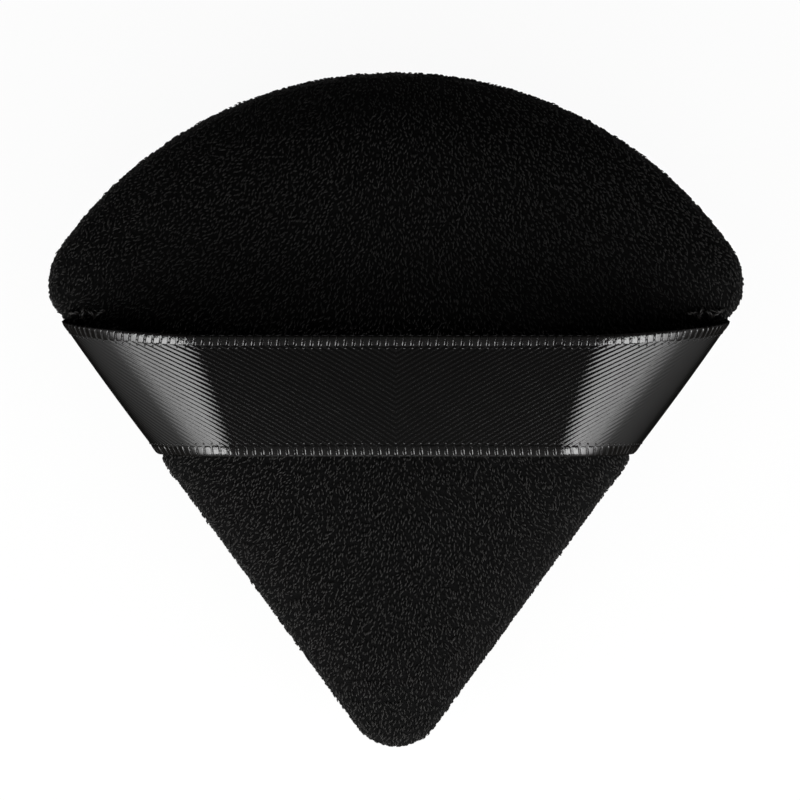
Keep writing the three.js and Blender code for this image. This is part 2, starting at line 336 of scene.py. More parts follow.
def keep_largest_shell(piece):
    """Deletes every loose shell but the one with the most vertices."""
    shells = bmesh.new()
    shells.from_mesh(piece.data)
    unseen = set(shells.verts)
    largest = set()
    while unseen:
        start = unseen.pop()
        shell, waiting = {start}, [start]
        while waiting:
            vertex = waiting.pop()
            near = {edge.other_vert(vertex) for edge in vertex.link_edges} - shell
            shell |= near
            waiting.extend(near)
        unseen -= shell
        if len(shell) > len(largest):
            largest = shell
    spare = [vertex for vertex in shells.verts if vertex not in largest]
    bmesh.ops.delete(shells, geom=spare, context="VERTS")
    shells.to_mesh(piece.data)
    shells.free()


def vertex_places(mesh):
    places = np.empty(len(mesh.vertices) * 3)
    mesh.vertices.foreach_get("co", places)
    return places.reshape(-1, 3)


def vertex_directions(mesh):
    directions = np.empty(len(mesh.vertices) * 3)
    mesh.vertex_normals.foreach_get("vector", directions)
    return directions.reshape(-1, 3)


def set_places(mesh, places):
    mesh.vertices.foreach_set("co", places.ravel())
    mesh.update()


def tree_of(mesh):
    return BVHTree.FromPolygons([v.co for v in mesh.vertices], [p.vertices for p in mesh.polygons])


def unit(vectors):
    return vectors / np.linalg.norm(vectors, axis=1, keepdims=True)


# Stuffed body: the covers and their foam as one cushion, puffed out by a cloth simulation


def skin_of_covers():
    """A fine skin round both covers, which the body is set against."""
    skin = joined_copy("skin", "front_cover", "back_cover", "foam_core")
    voxel_remeshed(skin, SKIN_VOXEL)
    keep_largest_shell(skin)
    tree = tree_of(skin.data)
    bpy.data.objects.remove(skin)
    return tree


def set_under_skin(body, skin, only_outwards):
    """Moves the body to the pile's depth under the skin; the pile is shorter near the seam."""
    places = []
    for vertex in body.data.vertices:
        place, outwards = vertex.co, vertex.normal
        ahead = skin.ray_cast(place, outwards, SKIN_REACH)[3]
        behind = skin.ray_cast(place, -outwards, SKIN_REACH)[3]
        if ahead is not None:
            depth = ahead
        elif behind is not None:
            depth = -behind
        else:
            depth = PILE_DEPTH
        depth_share = min(max(abs(place.z - SEAM_Z) / SEAM_FADE, RIM_SHARE), 1)
        shift = depth - PILE_DEPTH * depth_share
        if only_outwards:
            shift = max(shift, 0)
        places.append(place + outwards * shift)
    set_places(body.data, np.array(places))


def fill_beside_ribbon(body):
    """Fills the velour out above the ribbon's upper corners and below its lower ones."""
    places = vertex_places(body.data)
    off_seam = (np.abs(places[:, 2] - SEAM_Z) / SEAM_FADE).clip(0, 1)
    upper_end = side_end(ribbon_low.y + RIBBON_WIDTH + UPPER_END_RISE)
    lower_end = side_end(ribbon_low.y + LOWER_END_RISE)
    for (end_x, end_y), beyond in ((upper_end, 1), (lower_end, -1)):
        for side in (-1, 1):
            away = places[:, :2] - (side * end_x, end_y)
            nearness = np.exp(-np.sum(away**2, axis=1) / END_FILL_REACH**2)
            cleared = (beyond * away[:, 1] / END_FILL_EASE).clip(0, 1)
            outwards = np.array((side * math.cos(SIDE_LEAN), -math.sin(SIDE_LEAN), 0))
            places += outwards * (END_FILL * nearness * cleared * off_seam)[:, None]
    set_places(body.data, places)


def held_vertices(body):
    """The seam, the resting face and the cloth at the ribbon's ends don't move as the body swells."""
    ribbon = tree_of(nodes["finger_ribbon"].data)
    rest = back_low.z + PILE_DEPTH + REST_REACH
    held = []
    for vertex in body.data.vertices:
        place = vertex.co / SIM_SCALE
        at_seam = abs(place.z - SEAM_Z) < HELD_REACH
        at_rest = place.z < rest
        at_ribbon = ribbon.find_nearest(place, HELD_REACH + PILE_DEPTH)[0] is not None
        if at_seam or at_rest or at_ribbon:
            held.append(vertex.index)
    return held


def puffed_out(body):
    """Swells the cushion as a pressed cloth, at a size that suits Blender's cloth, up to a limit."""
    body.data.transform(Matrix.Scale(SIM_SCALE, 4))
    start = vertex_places(body.data)
    group = body.vertex_groups.new(name="held")
    group.add(held_vertices(body), 1, "REPLACE")
    cloth = body.modifiers.new("cloth", "CLOTH")
    cloth.settings.use_pressure = True
    cloth.settings.uniform_pressure_force = SIM_PRESSURE
    cloth.settings.vertex_group_mass = group.name
    cloth.settings.effector_weights.gravity = 0
    cloth.point_cache.frame_end = SIM_FRAMES
    for step in range(1, SIM_FRAMES + 1):
        scene.frame_set(step)
    apply_modifiers(body)
    scene.frame_set(1)
    moved = vertex_places(body.data) - start
    reach = np.linalg.norm(moved, axis=1, keepdims=True)
    cap = SWELL_LIMIT * SIM_SCALE
    set_places(body.data, start + moved * np.minimum(1, cap / np.maximum(reach, cap)))
    body.data.transform(Matrix.Scale(1 / SIM_SCALE, 4))


def make_body():
    body = joined_copy("stuffed_body", "front_cover", "back_cover", "foam_core")
    voxel_remeshed(body, BODY_VOXEL)
    keep_largest_shell(body)
    smoothed(body, SMOOTHING_ROUNDS)
    skin = skin_of_covers()
    set_under_skin(body, skin, only_outwards=False)
    puffed_out(body)
    smoothed(body, LAST_SMOOTHING_ROUNDS)
    subdivided(body)
    set_under_skin(body, skin, only_outwards=True)
    fill_beside_ribbon(body)
    return body


# Covers: each half of the body as a cloth shell with its seam allowance turned in


def half_cloth(name, body, side):
    cloth = bmesh.new()
    cloth.from_mesh(body.data)
    bmesh.ops.bisect_plane(
        cloth,
        geom=[*cloth.verts, *cloth.edges, *cloth.faces],
        plane_co=(0, 0, SEAM_Z + side * SEAM_CLEARANCE),
        plane_no=(0, 0, -side),
        clear_outer=True,
    )
    mesh = bpy.data.meshes.new(name)
    cloth.to_mesh(mesh)
    cloth.free()
    return add_object(name, mesh)


def turn_in_allowance(piece):
    cloth = bmesh.new()
    cloth.from_mesh(piece.data)
    edges = [edge for edge in cloth.edges if edge.is_boundary]
    made = bmesh.ops.extrude_edge_only(cloth, edges=edges)
    for vertex in made["geom"]:
        if isinstance(vertex, bmesh.types.BMVert):
            inward = Vector((vertex.co.x, vertex.co.y, 0)).normalized()
            vertex.co -= inward * SEAM_ALLOWANCE
    cloth.to_mesh(piece.data)
    cloth.free()


def make_cover(name, node, body, side, material):
    """Makes a cover, and gives a copy of its outside for the pile's roots."""
    cover = half_cloth(name, body, side)
    outside = cover.data.copy()
    turn_in_allowance(cover)
    thickness = cover.modifiers.new("thickness", "SOLIDIFY")
    thickness.thickness = CLOTH_THICKNESS
    thickness.offset = -1
    apply_modifiers(cover)
    finish_piece(cover, material)
    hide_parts(node)
    return outside


# Pile: leaning tufts of fibre, rooted all over a cover


def spread_roots(mesh):
    """Evenly spread places on a mesh, with the mesh's direction outwards at each."""
    mesh.calc_loop_triangles()
    corners = np.empty(len(mesh.loop_triangles) * 3, int)
    mesh.loop_triangles.foreach_get("vertices", corners)
    corners = corners.reshape(-1, 3)
    places, directions = vertex_places(mesh), vertex_directions(mesh)
    first, second, third = (places[corners[:, corner]] for corner in range(3))
    areas = np.linalg.norm(np.cross(second - first, third - first), axis=1) / 2
    reach = np.cumsum(areas)
    count = int(reach[-1] / TUFT_AREA)
    wanted = (np.arange(count) + random.random(count)) / count * reach[-1]
    chosen = corners[np.searchsorted(reach, wanted).clip(max=len(corners) - 1)]
    weights = random.dirichlet((1, 1, 1), count)
    roots = np.einsum("nk,nkj->nj", weights, places[chosen])
    outwards = np.einsum("nk,nkj->nj", weights, directions[chosen])
    return roots, unit(outwards)


def noise_at(points, size, start=0):
    """Smooth noise from about -1 to 1, one value for each point."""
    shift = Vector((start, start, start))
    return np.array([noise.noise(Vector(point) / size + shift) for point in points])


def lie_directions(roots, outwards):
    """The way the pile lies: fanned out from the arch to the sides and the tip, stirred a little."""
    fan = FAN_ANGLE * np.tanh(roots[:, 0] / FAN_REACH)
    stirred = FLOW_STIR * noise_at(roots, FLOW_SIZE)
    stirred = stirred + CLUMP_STIR * noise_at(roots, CLUMP_SIZE, CLUMP_NOISE_START)
    turn = fan + stirred + STRAY * random.standard_normal(len(roots))
    along = np.stack([np.sin(turn), -np.cos(turn), np.zeros(len(turn))], axis=1)
    facing = np.sum(along * outwards, axis=1, keepdims=True)
    return unit(along - facing * outwards + TINY)


def tuft_lengths(roots):
    """Uneven lengths, in clumps and from tuft to tuft, and shorter near the seam."""
    clumps = CLUMP_LENGTH_SHARE * noise_at(roots, CLUMP_SIZE, LENGTH_NOISE_START)
    uneven = 1 + clumps + STRAY_LENGTH_SHARE * random.standard_normal(len(roots))
    at_seam = (np.abs(roots[:, 2] - SEAM_Z) / SEAM_FADE).clip(SHORTEST_SHARE, 1)
    return TUFT_LENGTH * uneven.clip(SHORTEST_SHARE, LONGEST_SHARE) * at_seam


def clear_of_ribbon(roots, tips, lengths):
    """Shortens the tufts that would reach through the ribbon."""
    ribbon = tree_of(nodes["finger_ribbon"].data)
    near = roots[:, 1] > ribbon_low.y - TUFT_LENGTH
    near &= roots[:, 1] < ribbon_high.y + TUFT_LENGTH
    shares = np.ones(len(roots))
    for index in np.flatnonzero(near):
        root = Vector(roots[index])
        reach = Vector(tips[index]) - root
        distance = ribbon.ray_cast(root, reach, reach.length + RIBBON_ROOM)[3]
        if distance is not None:
            shares[index] = max(distance - RIBBON_ROOM, 0) / reach.length
    return lengths * shares.clip(SHORTEST_AT_RIBBON_SHARE, 1)


def tuft_line(roots, outwards, lie, lean, lengths):
    """The points of each tuft's bowed centre line, from its sunk root to its tip."""
    points = [roots - outwards * TUFT_SINK]
    for bow_share in TUFT_BOW_SHARES:
        angle = (lean * bow_share)[:, None]
        step = outwards * np.cos(angle) + lie * np.sin(angle)
        points.append(points[-1] + step * lengths[:, None] / len(TUFT_BOW_SHARES))
    return points


def tuft_faces():
    """Corners of one tuft's faces: bands of quads between its rings, then triangles to its tip."""
    after = [(side + 1) % TUFT_SIDES for side in range(TUFT_SIDES)]
    last = TUFT_SIDES * (len(TUFT_WIDTH_SHARES) - 1)
    quads = []
    for start in range(0, last, TUFT_SIDES):
        for side in range(TUFT_SIDES):
            low, next_low = start + side, start + after[side]
            quads.append((low, next_low, next_low + TUFT_SIDES, low + TUFT_SIDES))
    tips = [(last + side, last + after[side], last + TUFT_SIDES) for side in range(TUFT_SIDES)]
    return np.array(quads), np.array(tips)


def tuft_points(line, outwards, lie):
    """Points of tapered tufts round their centre lines: three rings and the tip of each."""
    across = np.cross(outwards, lie)
    points = []
    for level, width_share in enumerate(TUFT_WIDTH_SHARES):
        over = np.cross(across, unit(line[level + 1] - line[level]))
        for side in range(TUFT_SIDES):
            turn = math.tau * side / TUFT_SIDES
            offset = across * math.cos(turn) + over * math.sin(turn)
            points.append(line[level] + offset * TUFT_RADIUS * width_share)
    points = np.stack([*points, line[-1]], axis=1)
    points[:, :, 2] = points[:, :, 2].clip(min=back_low.z)
    return points


def tuft_mesh(name, points):
    """A mesh of many tufts, with the height along each one as an attribute."""
    count, size = points.shape[:2]
    starts = np.arange(count)[:, None, None] * size
    quads, tips = (faces[None] + starts for faces in tuft_faces())
    quad_corners, tip_corners = quads.shape[-1], tips.shape[-1]
    quad_starts = np.arange(quads.size // quad_corners) * quad_corners
    tip_starts = quads.size + np.arange(tips.size // tip_corners) * tip_corners
    mesh = bpy.data.meshes.new(name)
    mesh.vertices.add(count * size)
    mesh.vertices.foreach_set("co", points.ravel())
    mesh.loops.add(quads.size + tips.size)
    mesh.loops.foreach_set("vertex_index", np.concatenate([quads.ravel(), tips.ravel()]))
    mesh.polygons.add(len(quad_starts) + len(tip_starts))
    mesh.polygons.foreach_set("loop_start", np.concatenate([quad_starts, tip_starts]))
    heights = [*np.repeat(TUFT_HEIGHT_SHARES[:-1], TUFT_SIDES), TUFT_HEIGHT_SHARES[-1]]
    height = mesh.attributes.new("pile_height", "FLOAT", "POINT")
    height.data.foreach_set("value", np.tile(heights, count))
    mesh.update(calc_edges=True)
    mesh.validate()
    return mesh


def make_pile(name, outside, material):
    roots, outwards = spread_roots(outside)
    lie = lie_directions(roots, outwards)
    lean = LEAN_ANGLE + LEAN_SPREAD * noise_at(roots, CLUMP_SIZE, LEAN_NOISE_START)
    lengths = tuft_lengths(roots)
    tips = tuft_line(roots, outwards, lie, lean, lengths)[-1]
    lengths = clear_of_ribbon(roots, tips, lengths)
    points = tuft_points(tuft_line(roots, outwards, lie, lean, lengths), outwards, lie)
    for side_name, chosen in (("left", roots[:, 0] < 0), ("right", roots[:, 0] >= 0)):
        piece_name = f"{name}_{side_name}"
        pile = add_object(piece_name, tuft_mesh(piece_name, points[chosen]))
        finish_piece(pile, material)


# Finger ribbon


def side_end(y):
    """Where a ribbon edge that ends at y meets the puff's right side, a little inside the outline."""
    apex = cad_box[0].y + TIP_RADIUS - TIP_RADIUS / math.sin(SIDE_LEAN)
    x = (y - apex) * math.tan(SIDE_LEAN) - RIBBON_INSET * math.cos(SIDE_LEAN)
    return x, y + RIBBON_INSET * math.sin(SIDE_LEAN)


def ribbon_edge(flat_y, end_y, run):
    """One ribbon edge: flat over the fingers, bent down the sides, turned into the seam."""
    flat_z = ribbon_high.z - SELVEDGE_THICKNESS / 2
    end_x, side_y = side_end(end_y)
    bend_x = end_x - run
    low_z = SEAM_Z + RIBBON_TURN
    points = [(bend_x * step / FLAT_STEPS, flat_y, flat_z) for step in range(FLAT_STEPS)]
    for step in range(BEND_STEPS + 1):
        angle = QUARTER_TURN * step / BEND_STEPS
        fallen = 1 - math.cos(angle)
        x = bend_x + run * math.sin(angle)
        y = flat_y + (side_y - flat_y) * fallen**RISE_EXPONENT
        points.append((x, y, flat_z + (low_z - flat_z) * fallen))
    inward_x, inward_y = -math.cos(SIDE_LEAN), math.sin(SIDE_LEAN)
    for step in range(1, TURN_STEPS + 1):
        angle = QUARTER_TURN * step / TURN_STEPS
        inwards = RIBBON_TURN * (1 - math.cos(angle))
        z = SEAM_Z + RIBBON_TURN * (1 - math.sin(angle))
        points.append((end_x + inward_x * inwards, side_y + inward_y * inwards, z))
    for step in range(1, TAIL_STEPS + 1):
        inwards = RIBBON_TURN + RIBBON_TAIL * step / TAIL_STEPS
        points.append((end_x + inward_x * inwards, side_y + inward_y * inwards, SEAM_Z))
    right = np.array(points)
    left = right[:0:-1] * (-1, 1, 1)
    return np.concatenate([left, right])


def ribbon_edges():
    lower_y = ribbon_low.y
    upper_y = lower_y + RIBBON_WIDTH
    lower = ribbon_edge(lower_y, lower_y + LOWER_END_RISE, LOWER_BEND_RUN)
    upper = ribbon_edge(upper_y, upper_y + UPPER_END_RISE, UPPER_BEND_RUN)
    return lower, upper


def ribbon_directions(lower, upper):
    """Across and outward directions at each step along the ribbon."""
    middle = (lower + upper) / 2
    along = unit(np.gradient(middle, axis=0))
    across = unit(upper - lower)
    return across, unit(np.cross(along, across))


def lengths_along(line):
    steps = np.linalg.norm(np.diff(line, axis=0), axis=1)
    return np.concatenate([[0], np.cumsum(steps)])


def tube_faces(rings, sides):
    """Faces of a closed tube of rings, with a fan at each end round the last two points."""
    faces = []
    for ring in range(rings - 1):
        for side in range(sides):
            after = (side + 1) % sides
            start = ring * sides
            faces.append((start + side, start + after, start + sides + after, start + sides + side))
    first, last, end = rings * sides, rings * sides + 1, (rings - 1) * sides
    for side in range(sides):
        after = (side + 1) % sides
        faces.append((first, after, side))
        faces.append((last, end + side, end + after))
    return faces


def satin_lines(lower, upper, shares, lift):
    """Lines along one face of the crowned ribbon, at shares of its width."""
    outwards = ribbon_directions(lower, upper)[1]
    crowns = RIBBON_CROWN * (1 - (2 * shares - 1) ** 2)
    across = upper - lower
    return [lower + across * share + outwards * (crown + lift) for share, crown in zip(shares, crowns)]


def mark_weave_places(mesh, lengths, ring_shares):
    """Gives each point its place on the flat ribbon, along it from its middle and across it."""
    halfway = lengths[-1] / 2
    end_shares = (0.5, 0.5)
    along = np.concatenate([np.repeat(lengths - halfway, len(ring_shares)), [-halfway, halfway]])
    across = np.concatenate([np.tile(ring_shares, len(lengths)), end_shares]) * RIBBON_WIDTH
    places = mesh.attributes.new("weave_place", "FLOAT_VECTOR", "POINT")
    places.data.foreach_set("vector", np.stack([along, across, along * 0], axis=1).ravel())


def make_ribbon(material):
    lower, upper = ribbon_edges()
    shares = np.linspace(0, 1, SATIN_COLUMNS + 1)
    above = satin_lines(lower, upper, shares, RIBBON_THICKNESS / 2)
    below = satin_lines(lower, upper, shares, -RIBBON_THICKNESS / 2)
    rings = np.stack([*above, *below[::-1]], axis=1)
    points = np.concatenate([rings.reshape(-1, 3), [rings[0].mean(0), rings[-1].mean(0)]])
    faces = tube_faces(*rings.shape[:2])
    ribbon = add_object("satin_ribbon", mesh_from("satin_ribbon", points, faces))
    lengths = lengths_along((lower + upper) / 2)
    mark_weave_places(ribbon.data, lengths, np.concatenate([shares, shares[::-1]]))
    finish_piece(ribbon, material)
    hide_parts("finger_ribbon")
    return ribbon, lengths[-1]


# Selvedges: corded edges with narrow grooves between their ribs, and a knot inside each groove


def resampled(line, distances, wanted):
    return np.stack([np.interp(wanted, distances, line[:, axis]) for axis in range(3)], axis=1)


def selvedge_path(edge_share, inwards):
    """A selvedge's middle line in even steps, its directions, and how many ribs in each step is."""
    lower, upper = ribbon_edges()
    across, outwards = ribbon_directions(lower, upper)
    edge = lower + (upper - lower) * edge_share
    line = edge + across * inwards * SELVEDGE_WIDTH / 2
    distances = lengths_along(line)
    ribs = round(distances[-1] / RIB_PITCH)
    wanted = np.linspace(0, distances[-1], ribs * RIB_STEPS + 1)
    centre = resampled(line, distances, wanted)
    along = unit(np.gradient(centre, axis=0))
    across = resampled(across, distances, wanted) * inwards
    across = unit(across - along * np.sum(across * along, axis=1, keepdims=True))
    outwards = unit(resampled(outwards, distances, wanted))
    return centre, across, outwards, wanted / distances[-1] * ribs


def squared_off(part):
    """Moves a circle's sine or cosine outwards, towards a square with round corners."""
    return math.copysign(abs(part) ** RIB_EXPONENT, part)


def ribbed_lines(centre, across, outwards, place_in_ribs, ribs):
    """Lines along a selvedge, one for each side of its section, drawn in at the grooves."""
    swell = 1 + RIB_UNEVEN_SHARE * random.standard_normal(ribs + 2)
    lines = []
    for side in range(RIB_SIDES):
        turn = math.tau * side / RIB_SIDES
        wide = squared_off(math.cos(turn))
        high = squared_off(math.sin(turn))
        phase = place_in_ribs + RIB_SLANT_SHARE * wide
        from_groove = np.abs(phase - np.round(phase)) / GROOVE_SHARE
        groove = 1 - GROOVE_DEPTH_SHARE * np.exp(-(from_groove**2))
        size = groove * np.sqrt(swell[np.floor(phase + 1).astype(int).clip(0, ribs + 1)])
        narrowing = 1 - (1 - groove[:, None]) * GROOVE_NARROWING_SHARE
        wide_part = across * (wide * SELVEDGE_WIDTH / 2)
        high_part = outwards * (high * SELVEDGE_THICKNESS / 2) * size[:, None]
        lines.append(centre + wide_part * narrowing + high_part)
    return lines


def ball_shape(rings, sides):
    """A ball of radius 1 as rings between two poles, in the order that tube_faces joins."""
    polar = math.pi * np.arange(1, rings + 1)[:, None] / (rings + 1)
    turn = math.tau * np.arange(sides)[None] / sides
    x, y = np.sin(polar) * np.cos(turn), np.sin(polar) * np.sin(turn)
    ring_points = np.stack([x, y, np.cos(polar) + 0 * turn], axis=2)
    return np.concatenate([ring_points.reshape(-1, 3), [(0, 0, 1), (0, 0, -1)]])


def shifted_faces(faces, start):
    return [tuple(start + corner for corner in corners) for corners in faces]


def knot_shapes(centre, across, outwards, ribs):
    """Points and faces of a small ball on both faces of the ribbon at the inner end of each groove."""
    ball = ball_shape(KNOT_RINGS, KNOT_SIDES) * KNOT_RADIUS
    ball_faces = tube_faces(KNOT_RINGS, KNOT_SIDES)
    points, faces = [], []
    for index in range(RIB_STEPS, ribs * RIB_STEPS, RIB_STEPS):
        inner = centre[index] + across[index] * (SELVEDGE_WIDTH / 2 + KNOT_RADIUS / 2)
        for face in (1, -1):
            faces.extend(shifted_faces(ball_faces, len(points)))
            points.extend(ball + (inner + outwards[index] * face * KNOT_LIFT))
    return points, faces


def make_selvedge(name, edge_share, material):
    inwards = 1 if edge_share == 0 else -1
    centre, across, outwards, place_in_ribs = selvedge_path(edge_share, inwards)
    ribs = round(place_in_ribs[-1])
    rings = np.stack(ribbed_lines(centre, across, outwards, place_in_ribs, ribs), axis=1)
    points = np.concatenate([rings.reshape(-1, 3), [centre[0], centre[-1]]])
    faces = tube_faces(len(rings), RIB_SIDES)
    if inwards < 0:
        faces = [face[::-1] for face in faces]
    knots, knot_faces = knot_shapes(centre, across, outwards, ribs)
    faces += shifted_faces(knot_faces, len(points))
    selvedge = add_object(name, mesh_from(name, [*points, *knots], faces))
    finish_piece(selvedge, material)
    return selvedge


# Threads


def plied_thread(name, route, material, *replaced):
    """A thread of two plies twisted round a route of points."""
    route = np.array(route)
    distances = lengths_along(route)
    count = int(distances[-1] / PLY_STEP)
    wanted = np.linspace(0, distances[-1], count)
    line = resampled(route, distances, wanted)
    along = unit(np.gradient(line, axis=0))
    helper = np.where(np.abs(along[:, 2:]) > STEEP_SHARE, (1.0, 0, 0), (0, 0, 1.0))
    side = unit(np.cross(helper, along))
    over = np.cross(along, side)
    points, faces = [], []
    for ply in range(PLIES):
        turn = (math.tau * wanted / PLY_TURN + math.tau * ply / PLIES)[:, None]
        offset = (side * np.cos(turn) + over * np.sin(turn)) * THREAD_RADIUS * PLY_OFFSET_SHARE
        middle = line + offset
        corners = []
        for corner in range(PLY_SIDES):
            angle = math.tau * corner / PLY_SIDES
            reach = side * math.cos(angle) + over * math.sin(angle)
            corners.append(middle + reach * THREAD_RADIUS * PLY_RADIUS_SHARE)
        faces.extend(shifted_faces(tube_faces(count, PLY_SIDES), len(points)))
        points.extend([*np.stack(corners, axis=1).reshape(-1, 3), middle[0], middle[-1]])
    thread = add_object(name, mesh_from(name, points, faces))
    finish_piece(thread, material)
    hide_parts(*replaced)


def make_closing_thread(material):
    """Ladder stitches across the groove, from cover to cover, along the left side."""
    low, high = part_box("closing_thread")
    start = Vector((high.x, low.y, 0))
    run = Vector((low.x, high.y, 0)) - start
    inward = Vector((math.cos(SIDE_LEAN), math.sin(SIDE_LEAN), 0)) * CLOSING_SINK
    stitches = round(run.length / CLOSING_STITCH)
    route = []
    for stitch in range(stitches + 1):
        place = start + run * stitch / stitches + inward
        heights = (low.z, high.z) if stitch % 2 == 0 else (high.z, low.z)
        route.extend([(place.x, place.y, height) for height in heights])
    plied_thread("ladder_stitches", route, material, "closing_thread")


def make_end_stitches(side_name, body, material):
    """A few uneven loops that stand out of the pile above a ribbon end."""
    node = f"{side_name}_end_stitches"
    low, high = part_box(node)
    velour = tree_of(body.data)
    row_y = low.y + (high.y - low.y) * LOOP_ROW_SHARE
    route = []
    for loop in range(END_LOOPS):
        centre_x = low.x + (high.x - low.x) * (loop + 1 / 2) / END_LOOPS
        radius = END_LOOP_RADIUS * (1 + LOOP_UNEVEN_SHARE * math.sin(LOOP_UNEVEN_TURN * loop))
        for step in range(LOOP_STEPS + 1):
            angle = math.pi * (1 - step / LOOP_STEPS)
            reach = radius * math.cos(angle)
            x = centre_x + reach * math.cos(LOOP_TURN * loop)
            y = row_y + reach * math.sin(LOOP_TURN * loop)
            ground = velour.find_nearest(Vector((x, y, low.z)))[0].z
            route.append((x, y, ground + (END_LOOP_LIFT + radius) * math.sin(angle)))
    plied_thread(f"{side_name}_loops", route, material, node)


# Foam pad inside the covers


def make_foam(material):
    foam = joined_copy("foam_pad", "foam_core")
    voxel_remeshed(foam, FOAM_VOXEL)
    smoothed(foam, FOAM_SMOOTHING_ROUNDS)
    finish_piece(foam, material)
    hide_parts("foam_core")


# Nodes of the materials and of the background


class NodeTree:
    """Short ways to add nodes and join them. A source is another node's socket or a plain value."""

    def __init__(self, owner):
        owner.use_nodes = True
        self.nodes = owner.node_tree.nodes
        self.link = owner.node_tree.links.new

    def add(self, kind, **settings):
        node = self.nodes.new(kind)
        for name, value in settings.items():
            setattr(node, name, value)
        return node

    def join(self, source, socket):
        if isinstance(source, bpy.types.NodeSocket):
            self.link(source, socket)
        else:
            socket.default_value = source

    def feed(self, node, **sources):
        """Joins sources to the node's inputs of the same names, with _ for a space."""
        for name, source in sources.items():
            self.join(source, node.inputs[name.replace("_", " ")])

    def maths(self, operation, *sources):
        node = self.add("ShaderNodeMath", operation=operation)
        for source, socket in zip(sources, node.inputs):
            self.join(source, socket)
        return node.outputs["Value"]

    def mapped(self, source, wanted, given=(0, 1)):
        """Turns the range given into the range wanted, and holds to its ends beyond them."""
        node = self.add("ShaderNodeMapRange")
        self.feed(node, Value=source, From_Min=given[0], From_Max=given[1])
        self.feed(node, To_Min=wanted[0], To_Max=wanted[1])
        return node.outputs["Result"]

    def number_between(self, share, first, second):
        node = self.add("ShaderNodeMix", data_type="FLOAT")
        self.feed(node, Factor=share)
        for source, socket in zip((first, second), MIX_NUMBERS):
            self.join(source, node.inputs[socket])
        return node.outputs[MIX_NUMBER_RESULT]

    def colour_between(self, share, dark, light):
        node = self.add("ShaderNodeMix", data_type="RGBA")
        self.feed(node, Factor=share)
        for colour, socket in zip((dark, light), MIX_COLOURS):
            node.inputs[socket].default_value = (*colour, 1)
        return node.outputs[MIX_COLOUR_RESULT]

    def object_place(self):
        return self.add("ShaderNodeTexCoord").outputs["Object"]

    def noise(self, place, scale, detail=2):
        node = self.add("ShaderNodeTexNoise")
        self.feed(node, Vector=place, Scale=scale, Detail=detail)
        return node.outputs["Fac"]

    def bumped(self, height, distance):
        node = self.add("ShaderNodeBump")
        self.feed(node, Height=height, Distance=distance)
        return node.outputs["Normal"]


def new_material(name):
    """A material, its tree of nodes and its Principled shader."""
    material = bpy.data.materials.new(name)
    tree = NodeTree(material)
    return material, tree, tree.nodes["Principled BSDF"]


def glossy_face_on(tree, shader, ior, shine):
    """Threads that shine where they are seen face on, and go dull where they are seen at a slant."""
    shader.inputs["IOR"].default_value = ior
    slant = tree.add("ShaderNodeLayerWeight").outputs["Facing"]
    fade = tree.mapped(slant, (1, 0), [1 - math.cos(angle) for angle in shine])
    eased = tree.maths("POWER", fade, SHINE_EASE)
    tree.feed(shader, IOR=tree.maths("MULTIPLY_ADD", eased, ior - DULL_IOR, DULL_IOR))


# Materials


def pile_material():
    """Black velour fibres: painted shade at their roots and painted light towards their ends, made
    uneven by a grain.
    """
    material, tree, shader = new_material("velour_pile")
    # The height along each tuft paints shade at its root and light towards its tip.
    height = tree.add("ShaderNodeAttribute", attribute_name="pile_height").outputs["Fac"]
    grain = tree.noise(tree.object_place(), PILE_GRAIN)
    grain_with_painted_shading = tree.maths("MULTIPLY", height, grain)
    tree.feed(shader, Base_Color=tree.colour_between(grain_with_painted_shading, PILE_DARK_AND_ROOT_SHADE, PILE_LIGHT_AND_LIT_TIPS))
    tree.feed(shader, Roughness=tree.mapped(grain, PILE_ROUGHNESS))
    tree.feed(shader, Sheen_Weight=0.01, Sheen_Roughness=0.4, Sheen_Tint=SHEEN_TINT)
    tree.feed(shader, Specular_IOR_Level=0.04)
    return material


def backing_material():
    """The knitted backing under the pile: its own black, made darker than the fibres as painted shade
    between the tufts, with the knit's fine grain.
    """
    material, tree, shader = new_material("velour_backing")
    grain = tree.noise(tree.object_place(), BACKING_GRAIN, detail=3)
    tree.feed(shader, Base_Color=tree.colour_between(grain, BACKING_DARK, BACKING_LIGHT))
    tree.feed(shader, Roughness=tree.mapped(grain, BACKING_ROUGHNESS))
    tree.feed(shader, Normal=tree.bumped(grain, BACKING_DEPTH), Specular_IOR_Level=0.1)
    return material


def satin_material():
    """Black satin: fine twill lines that slope down to the middle from both ends of the ribbon."""
    material, tree, shader = new_material("black_satin")
    place = tree.add("ShaderNodeAttribute", attribute_name="weave_place").outputs["Vector"]
    grain = tree.noise(place, SATIN_GRAIN, detail=3)
    height = tree.maths("MULTIPLY_ADD", grain, SATIN_GRAIN_SHARE, twill_lines(tree, place))
    tree.feed(shader, Base_Color=tree.colour_between(grain, SATIN_DARK, SATIN_LIGHT))
    tree.feed(shader, Roughness=tree.mapped(tree.noise(place, SATIN_PATCHES), SATIN_ROUGHNESS))
    tree.feed(shader, Normal=tree.bumped(height, TWILL_DEPTH), Specular_IOR_Level=1)
    glossy_face_on(tree, shader, POLYESTER_IOR, SATIN_SHINE)
    return material


def twill_lines(tree, place):
    """Waves from 0 to 1 across the twill's sloping lines, mirrored at the ribbon's middle."""
    parts = tree.add("ShaderNodeSeparateXYZ")
    tree.feed(parts, Vector=place)
    along, across = tree.maths("ABSOLUTE", parts.outputs["X"]), parts.outputs["Y"]
    along_turn = -math.sin(TWILL_SLOPE) * math.tau / TWILL_PITCH
    across_turn = math.cos(TWILL_SLOPE) * math.tau / TWILL_PITCH
    sloped = tree.maths("MULTIPLY", along, along_turn)
    wave = tree.maths("SINE", tree.maths("MULTIPLY_ADD", across, across_turn, sloped))
    return tree.maths("MULTIPLY_ADD", wave, 1 / 2, 1 / 2)


